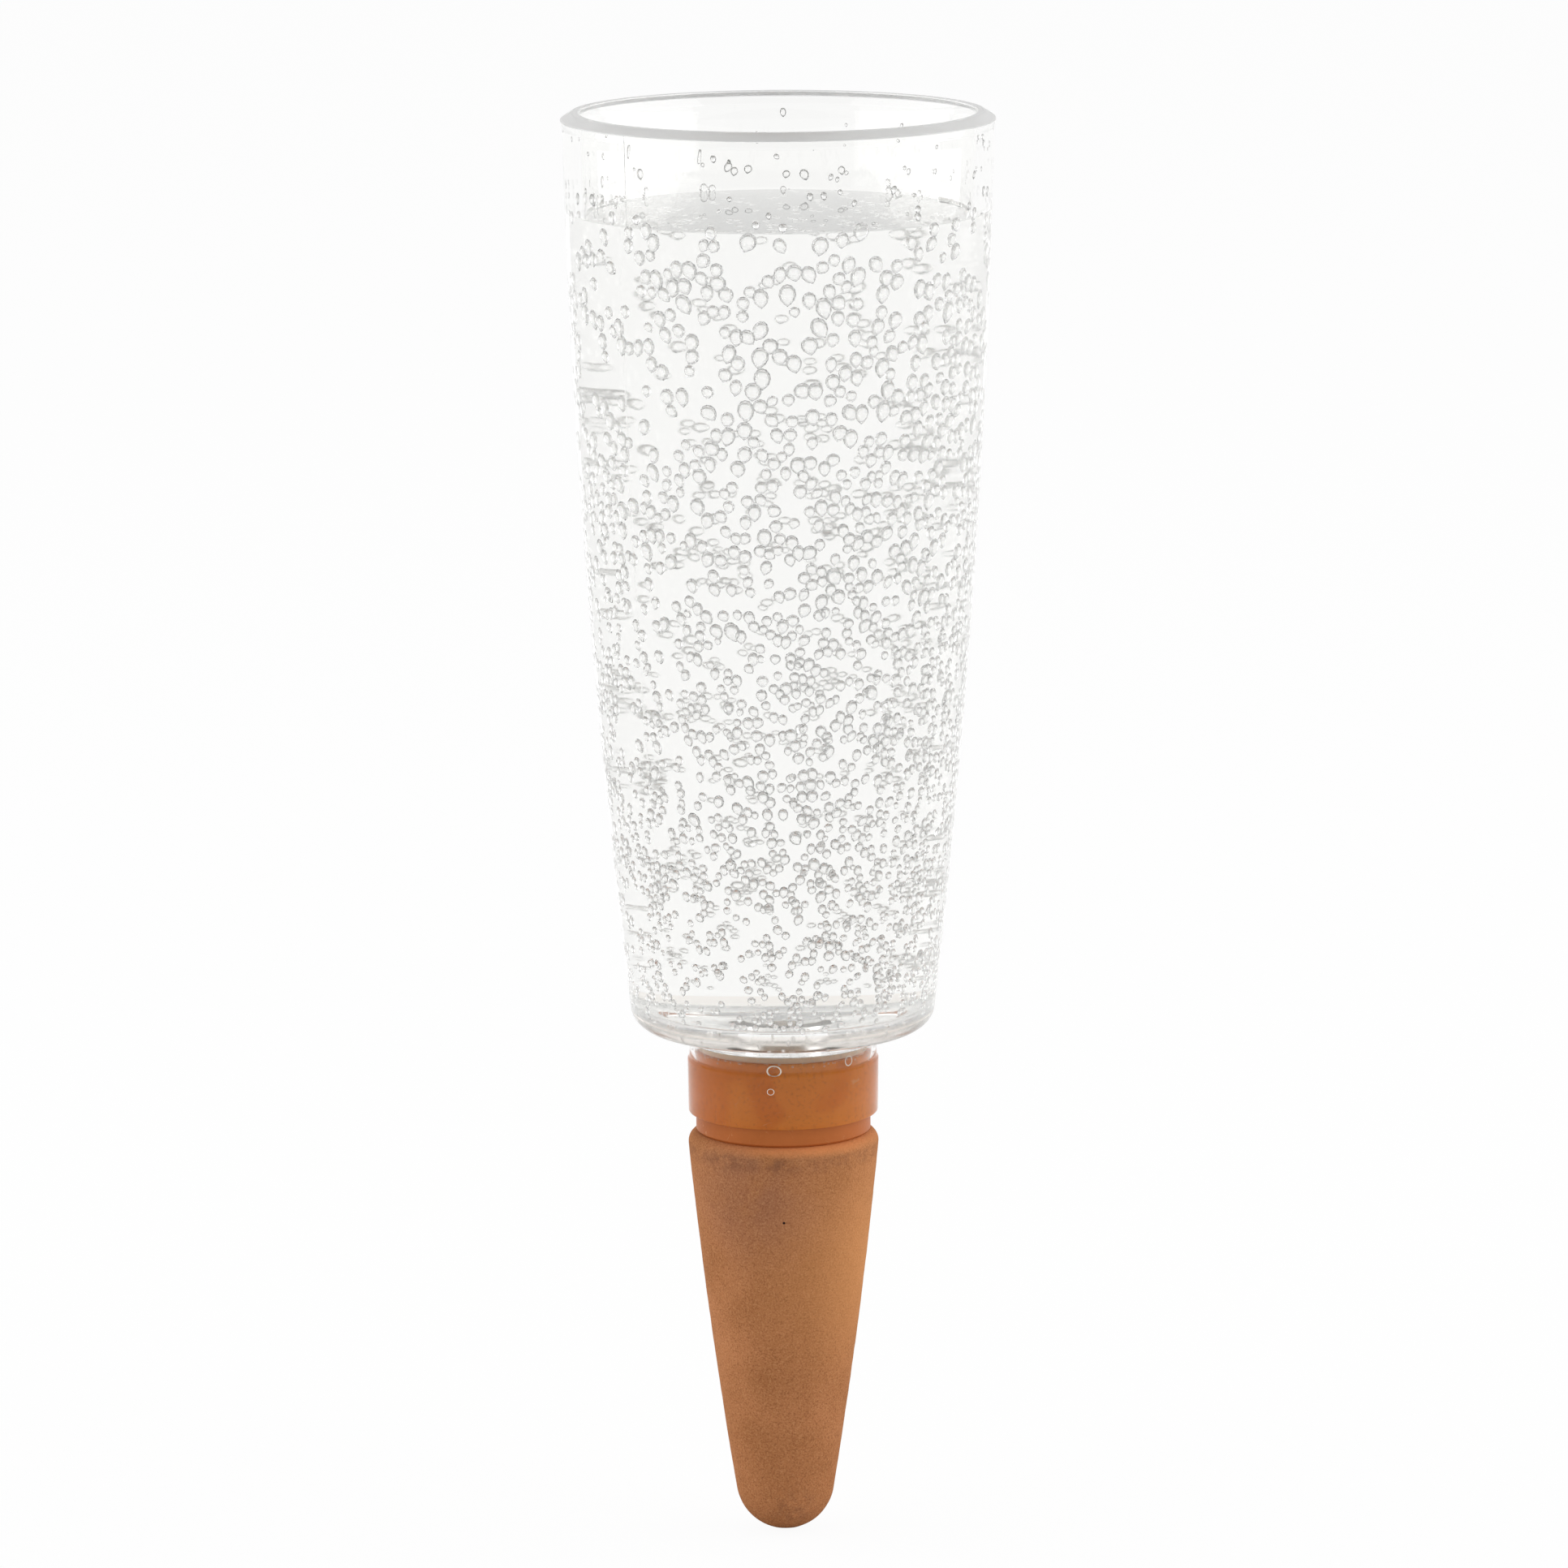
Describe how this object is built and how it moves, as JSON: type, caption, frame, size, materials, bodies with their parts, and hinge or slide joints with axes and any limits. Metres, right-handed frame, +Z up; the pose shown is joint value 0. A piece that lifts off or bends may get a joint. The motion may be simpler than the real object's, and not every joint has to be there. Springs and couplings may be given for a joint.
{
  "type": "self watering spike",
  "caption": "Clear bubble-wall cup that screws onto an orange adapter cemented into a hollow clay cone, which is pushed into potting soil and seeps water.",
  "frame": {"origin": "on the axis at the top face of the clay cone, which is the soil line", "axes": "+Z up along the axis, out of the soil towards the cup's rim; X and Y across, the object is round"},
  "size_m": [0.085, 0.085, 0.2853],
  "materials": {
    "clear_plastic": "clear and polished, with air bubbles in the wall",
    "seal": "soft translucent silicone",
    "orange_plastic": "smooth, half gloss",
    "cement": "set cement",
    "clay": "unglazed fired clay, matt and porous"
  },
  "bodies": {
    "spike": {"clay_cone": "clay", "cone_adapter": "orange_plastic", "adhesive_ring": "cement"},
    "washer": {"seal_washer": "seal"},
    "reservoir": {"reservoir": "clear_plastic"}
  },
  "joints": [
    {"name": "reservoir_turn", "type": "hinge", "parent": "spike", "child": "washer", "pos_m": [0, 0, 0.0169], "axis": [0, 0, 1], "range_deg": [0, 720]},
    {"name": "reservoir_lift", "type": "slide", "parent": "washer", "child": "reservoir", "axis": [0, 0, 1], "range_m": [0, 0.008]}
  ],
  "couplings": [
    {"joint": "reservoir_lift", "follows": "reservoir_turn", "m_per_rad": 0.0006366}
  ]
}
